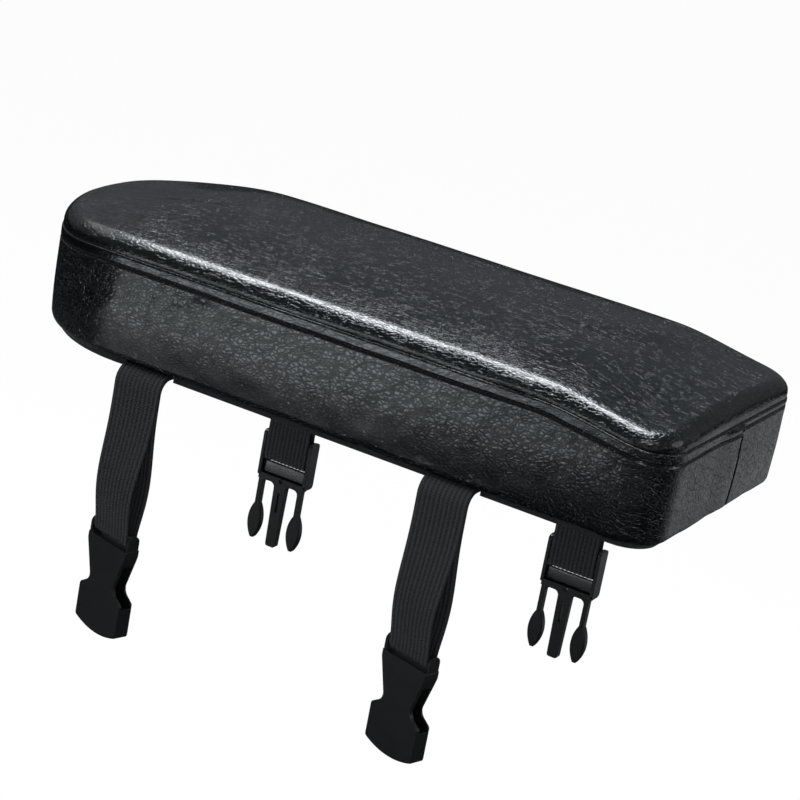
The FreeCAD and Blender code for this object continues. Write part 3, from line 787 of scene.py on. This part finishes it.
def woven_polypropylene(base, s):
    """Polypropylene webbing, woven in ribs: charcoal ribs along the strap, with painted shade
    in the gaps between them.

    Small picks cross each rib. They are drawn at 1.2 mm, coarser than the real ones, so that they show.
    The colour follows the height of the weave: painted shade in its low parts, painted light on its
    crests.
    """
    material, tree = new_material("woven_polypropylene")
    flat = add(tree, "UVMap", uv_map="flat")
    parts = add(tree, "SeparateXYZ", {0: flat})
    waves = []
    for source, pitch in zip(parts.outputs, (s.web_width / s.ribs, 1.2 * MM)):
        turn = add(tree, "Math", {0: source, 1: 2 * math.pi / pitch}, operation="MULTIPLY")
        waves.append(add(tree, "Math", {0: turn}, operation="COSINE"))
    place = add(tree, "TexCoord").outputs["Object"]
    fuzz = add(tree, "TexNoise", {"Vector": place, "Scale": 1 / (0.5 * MM), "Detail": 2.0})
    height = waves[0]
    for part, rise in ((waves[1], 0.35), (fuzz, 0.8)):
        height = add(tree, "Math", {0: part, 1: rise, 2: height}, operation="MULTIPLY_ADD")
    relief = add(tree, "Bump", {"Height": height, "Strength": 0.8, "Distance": 0.12 * MM})
    # Painted shade and light: the colour falls to a quarter in the low parts of ribs, picks and fuzz,
    # and rises to half again on the crests.
    painted_shading = add(tree, "MapRange", {"Value": height, "From Min": -0.9, "From Max": 1.6})
    shade = add(tree, "Mix", {0: painted_shading, 6: tint(base, 0.25), 7: tint(base, 1.5)}, data_type="RGBA")
    shader = add(
        tree,
        "BsdfPrincipled",
        {
            "Base Color": shade,
            "Roughness": 0.72,
            "IOR": 1.49,
            "Sheen Weight": 0.08,
            "Sheen Roughness": 0.4,
            "Normal": relief,
        },
    )
    return finished(material, shader)


def fibrous(name, base, strand, depth, rough, sheen):
    """Matted or spun fibre, or foam cells: dull and mottled, with a soft nap of the given size."""
    material, tree = new_material(name)
    place = add(tree, "TexCoord").outputs["Object"]
    nap = add(tree, "TexNoise", {"Vector": place, "Scale": 1 / strand, "Detail": 5.0})
    shade = add(tree, "Mix", {0: nap, 6: tint(base, 0.5), 7: tint(base, 1.5)}, data_type="RGBA")
    relief = add(tree, "Bump", {"Height": nap, "Distance": depth})
    shader = add(
        tree,
        "BsdfPrincipled",
        {"Base Color": shade, "Roughness": rough, "Sheen Weight": sheen, "Normal": relief},
    )
    return finished(material, shader)


def birch_plywood(base):
    """Birch plywood, sanded: pale brown with growth lines drawn out along the board."""
    material, tree = new_material("birch_plywood")
    place = add(tree, "TexCoord").outputs["Object"]
    stretch = add(tree, "Mapping", {0: place, "Scale": (0.12, 1.0, 1.0)})
    grain = add(
        tree, "TexNoise", {"Vector": stretch, "Scale": 1 / (3 * MM), "Detail": 4.0, "Distortion": 0.8}
    )
    shade = add(tree, "Mix", {0: grain, 6: tint(base, 0.7), 7: tint(base, 1.15)}, data_type="RGBA")
    relief = add(tree, "Bump", {"Height": grain, "Distance": 0.1 * MM})
    shader = add(tree, "BsdfPrincipled", {"Base Color": shade, "Roughness": 0.62, "Normal": relief})
    return finished(material, shader)


def galvanised_wire(base):
    """Galvanised staple wire: bright grey metal, dulled in patches."""
    material, tree = new_material("galvanised_wire")
    place = add(tree, "TexCoord").outputs["Object"]
    patch = add(tree, "TexNoise", {"Vector": place, "Scale": 1 / (1.5 * MM), "Detail": 3.0})
    span = {"From Min": 0.3, "From Max": 0.7, "To Min": 0.28, "To Max": 0.5}
    rough = add(tree, "MapRange", {"Value": patch, **span})
    shader = add(
        tree, "BsdfPrincipled", {"Base Color": tint(base, 1), "Metallic": 1.0, "Roughness": rough}
    )
    return finished(material, shader)


def studio_floor(base):
    """Painted studio floor: white to the camera, and still taking a soft shadow."""
    material, tree = new_material("painted_floor")
    path = add(tree, "LightPath")
    share = add(tree, "Math", {0: path.outputs["Is Camera Ray"], 1: 0.97}, operation="MULTIPLY")
    paint = add(tree, "BsdfDiffuse", {"Color": tint(base, 1)})
    lit = add(tree, "Emission", {"Color": (1, 1, 1, 1), "Strength": 1.0})
    return finished(material, add(tree, "MixShader", {0: share, 1: paint, 2: lit}))


def painted_reflection_card():
    """Black sheet with two painted pools of light, one in front and one behind, seen only in
    reflections.

    It glows though it is no lamp, and paints the reflections of the studio round the object: painted
    shade where it is black, painted light in the pools. The front pool is brightest at the left and
    fades to the right and towards the object.
    """
    material, tree = new_material("painted_reflection_card")
    place = add(tree, "TexCoord").outputs["Object"]
    parts = add(tree, "SeparateXYZ", {0: place})
    across, away = parts.outputs["X"], parts.outputs["Y"]
    behind = add(tree, "VectorMath", {0: place, 1: (0.62, 0.95, FLOOR_LEVEL)}, operation="DISTANCE")
    ramps = []
    for value, start, end, first, last in (
        (across, -0.84, -0.70, 0.0, 1.0),
        (across, -0.50, -0.12, 1.0, 0.06),
        (away, -1.02, -0.45, 1.0, 0.03),
        (behind, 0.25, 0.80, 0.42, 0.01),
    ):
        span = {"From Min": start, "From Max": end, "To Min": first, "To Max": last}
        ramps.append(add(tree, "MapRange", {"Value": value, **span}, **SMOOTH))
    *fades, glow = ramps
    # Painted light: the glow of both pools; painted shade, black, everywhere else.
    pool = 3.8
    for fade in fades:
        pool = add(tree, "Math", {0: pool, 1: fade}, operation="MULTIPLY")
    painted_shading = add(tree, "Math", {0: pool, 1: glow}, operation="ADD")
    shader = add(tree, "Emission", {"Color": (0.93, 0.97, 1.0, 1), "Strength": painted_shading})
    return finished(material, shader)


# Operators


class CUSHION_OT_cover(bpy.types.Operator):
    """Sew the leatherette cover: crowned top panel and wrinkled side band"""

    bl_idname = "cushion.cover"
    bl_label = "Cover"

    def execute(self, context):
        s = context.scene.cushion_sizes
        base = tuple(context.scene.cushion_colours.leather)
        line = Outline(s)
        moves = swell(s, line)
        top = top_panel(s, line, moves)
        band = side_band(s, line, moves)
        top_look = {"cell": 1.8 * MM, "gloss": 0.14, "worn": 0.18, "calm": 0.2, "drawn": 0.0}
        band_look = {"cell": 2.0 * MM, "gloss": 0.17, "worn": 0.24, "calm": 0.050, "drawn": 0.026}
        top_rises, band_rises = (0.07, 0.05, 0.04, 0.24, 0.02), (0.06, 0.17, 0.32, 0.0, 0.02)
        dress(top, leatherette("leatherette_top", base, heights=top_rises, **top_look))
        dress(band, leatherette("leatherette_band", base, heights=band_rises, **band_look))
        for piece, node in ((top, "top_panel"), (band, "side_band")):
            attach(piece, "root")
            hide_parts(node)
        return {"FINISHED"}


class CUSHION_OT_topstitch(bpy.types.Operator):
    """Lay the row of stitches below the top seam"""

    bl_idname = "cushion.topstitch"
    bl_label = "Topstitch"

    def execute(self, context):
        s = context.scene.cushion_sizes
        thread = stitches(s, Outline(s))
        base = tuple(context.scene.cushion_colours.thread)
        spun = fibrous("spun_polyester", base, strand=0.5 * MM, depth=0.1 * MM, rough=0.75, sheen=0.0)
        dress(thread, spun)
        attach(thread, "root")
        return {"FINISHED"}


class CUSHION_OT_straps(bpy.types.Operator):
    """Fold the four webbing straps round their buckle bars"""

    bl_idname = "cushion.straps"
    bl_label = "Straps"

    def execute(self, context):
        s = context.scene.cushion_sizes
        weave = woven_polypropylene(tuple(context.scene.cushion_colours.webbing), s)
        for kind, side, twist, slack in (
            ("socket", -1, math.radians(-17), s.slack),
            ("plug", 1, 0.0, 0.0),
        ):
            for end in STRAP_ENDS:
                node = f"{kind}_strap_{end}"
                low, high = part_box(node)
                middle = (low.x + high.x) / 2
                piece, length = strap(s, f"{node}_webbing", middle, side, twist, slack)
                dress(piece, weave)
                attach(piece, "root")
                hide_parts(node)
        return {"FINISHED"}


class CUSHION_OT_buckles(bpy.types.Operator):
    """Finish the moulded buckle halves and close the plugs' frames"""

    bl_idname = "cushion.buckles"
    bl_label = "Buckles"

    def execute(self, context):
        base = tuple(context.scene.cushion_colours.buckle)
        satin = moulded_acetal("moulded_acetal", base, gloss=0.38)
        shiny = moulded_acetal("polished_acetal", base, gloss=0.16)
        for end in STRAP_ENDS:
            dress(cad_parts[f"buckle_socket_{end}"], satin)
            dress(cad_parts[f"buckle_plug_{end}"], satin)
            low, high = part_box(f"buckle_plug_{end}")
            plate = web_plate(f"plug_web_plate_{end}", (low.x + high.x) / 2)
            dress(plate, shiny)
            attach(plate, f"buckle_plug_{end}")
        return {"FINISHED"}


class CUSHION_OT_base(bpy.types.Operator):
    """Finish the foam, board, felt pad and staples"""

    bl_idname = "cushion.base"
    bl_label = "Base"

    def execute(self, context):
        c = context.scene.cushion_colours
        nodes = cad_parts
        cells = {"strand": 1.2 * MM, "depth": 0.4 * MM, "rough": 0.9, "sheen": 0.15}
        matted = {"strand": 1.0 * MM, "depth": 0.5 * MM, "rough": 0.95, "sheen": 0.15}
        dress(nodes["foam_pad"], fibrous("open_cell_foam", tuple(c.foam), **cells))
        dress(nodes["base_board"], birch_plywood(tuple(c.wood)))
        dress(nodes["base_pad"], fibrous("needled_felt", tuple(c.felt), **matted))
        wire = galvanised_wire(tuple(c.steel))
        dress(nodes["skirt_staples"], wire)
        dress(nodes["strap_staples"], wire)
        return {"FINISHED"}


class CUSHION_OT_stage(bpy.types.Operator):
    """Set the floor, soft lights and camera"""

    bl_idname = "cushion.stage"
    bl_label = "Stage"

    def execute(self, context):
        scene = context.scene
        ring = np.linspace(0, 2 * math.pi, 97)[:-1]
        reach = np.array([0.0, 1.0, FLOOR_REACH])[:, None]
        xs, ys = reach * np.cos(ring), reach * np.sin(ring)
        disc = np.stack([xs, ys, FLOOR_LEVEL + 0 * xs], axis=-1)
        quads = grid_quads(reach.size, ring.size, upward=True)
        floor = new_piece("studio_floor", disc, quads, merge=1e-6)
        dress(floor, studio_floor(tuple(scene.cushion_colours.floor)))
        # Glowing sheet just above the floor, seen only in reflections: it paints black shade and pools
        # of light into them.
        ends, card_lift = [-FLOOR_REACH, FLOOR_REACH], 10 * MM
        xs, ys = np.meshgrid(ends, ends)
        flat = np.stack([xs, ys, 0 * xs + FLOOR_LEVEL + card_lift], axis=-1)
        card = new_piece("painted_reflection_sheet", flat, np.array([[0, 1, 3, 2]]))
        dress(card, painted_reflection_card())
        card.visible_camera = False
        card.visible_diffuse = False
        card.visible_transmission = False
        card.visible_shadow = False
        for name, spot, aim, width, depth, power in (
            ("overhead_softbox", (-0.16, 0.08, 1.00), (0.0, -0.07, 0.06), 0.95, 0.40, 18.0),
            ("wide_softbox", (-0.42, 0.20, 1.05), (0.0, -0.07, 0.06), 1.6, 0.90, 6.0),
            ("front_softbox", (0.9, -1.3, 0.8), (0.0, 0.0, -0.05), 0.7, 0.7, 5.0),
            ("side_softbox", (1.4, 0.5, 0.5), (0.0, 0.0, 0.0), 0.8, 0.8, 3.0),
        ):
            lamp = bpy.data.lights.new(name, "AREA")
            lamp.shape = "RECTANGLE"
            lamp.size = width
            lamp.size_y = depth
            lamp.energy = power
            holder = bpy.data.objects.new(name, lamp)
            back = (Vector(spot) - Vector(aim)).normalized()
            across = (Vector((1, 0, 0)) - back * back.x).normalized()
            axes = Matrix((across, back.cross(across), back)).transposed().to_4x4()
            holder.matrix_world = Matrix.Translation(spot) @ axes
            holder.visible_camera = False
            scene.collection.objects.link(holder)
        world = bpy.data.worlds.new("studio_air")
        world.use_nodes = True
        world.node_tree.nodes["Background"].inputs[0].default_value = (0.125, 0.132, 0.142, 1)
        scene.world = world
        view = bpy.data.cameras.new("photo_view")
        view.sensor_width = 36
        view.lens = 120.08
        distance = 1.2
        turn, lift, roll = (math.radians(angle) for angle in (26.206, 18.407, 10.738))
        level = math.cos(lift)
        back = Vector((math.sin(turn) * level, -math.cos(turn) * level, math.sin(lift)))
        right = Vector((math.cos(turn), math.sin(turn), 0))
        up = back.cross(right)
        across = right * math.cos(roll) + up * math.sin(roll)
        upward = up * math.cos(roll) - right * math.sin(roll)
        target = Vector((0.035709, -0.05403, 0.0234))
        camera = bpy.data.objects.new("photo_view", view)
        axes = Matrix((across, upward, back)).transposed().to_4x4()
        camera.matrix_world = Matrix.Translation(target + back * distance) @ axes
        scene.collection.objects.link(camera)
        scene.camera = camera
        scene.view_settings.view_transform = "Standard"
        return {"FINISHED"}


class CUSHION_PT_panel(bpy.types.Panel):
    """Lists the steps and the sizes and colours behind them"""

    bl_idname = "CUSHION_PT_panel"
    bl_label = "Cushion seat"
    bl_space_type = "VIEW_3D"
    bl_region_type = "UI"
    bl_category = "Cushion seat"

    def draw(self, context):
        for step in STEPS:
            self.layout.operator(step.bl_idname)
        for group in (context.scene.cushion_sizes, context.scene.cushion_colours):
            column = self.layout.column()
            for name in group.__annotations__:
                column.prop(group, name)


GROUPS = (CushionSizes, CushionColours)
STEPS = (
    CUSHION_OT_cover,
    CUSHION_OT_topstitch,
    CUSHION_OT_straps,
    CUSHION_OT_buckles,
    CUSHION_OT_base,
    CUSHION_OT_stage,
)


def register():
    """Registers the classes and ties the two property groups to the scene."""
    for part in (*GROUPS, *STEPS, CUSHION_PT_panel):
        bpy.utils.register_class(part)
    bpy.types.Scene.cushion_sizes = PointerProperty(type=CushionSizes)
    bpy.types.Scene.cushion_colours = PointerProperty(type=CushionColours)


def unregister():
    """Takes the property groups and classes away again."""
    del bpy.types.Scene.cushion_colours
    del bpy.types.Scene.cushion_sizes
    for part in (CUSHION_PT_panel, *STEPS[::-1], *GROUPS[::-1]):
        bpy.utils.unregister_class(part)


def main():
    register()
    bpy.ops.cushion.cover()
    bpy.ops.cushion.topstitch()
    bpy.ops.cushion.straps()
    bpy.ops.cushion.buckles()
    bpy.ops.cushion.base()
    bpy.ops.cushion.stage()


if __name__ == "__main__":
    main()
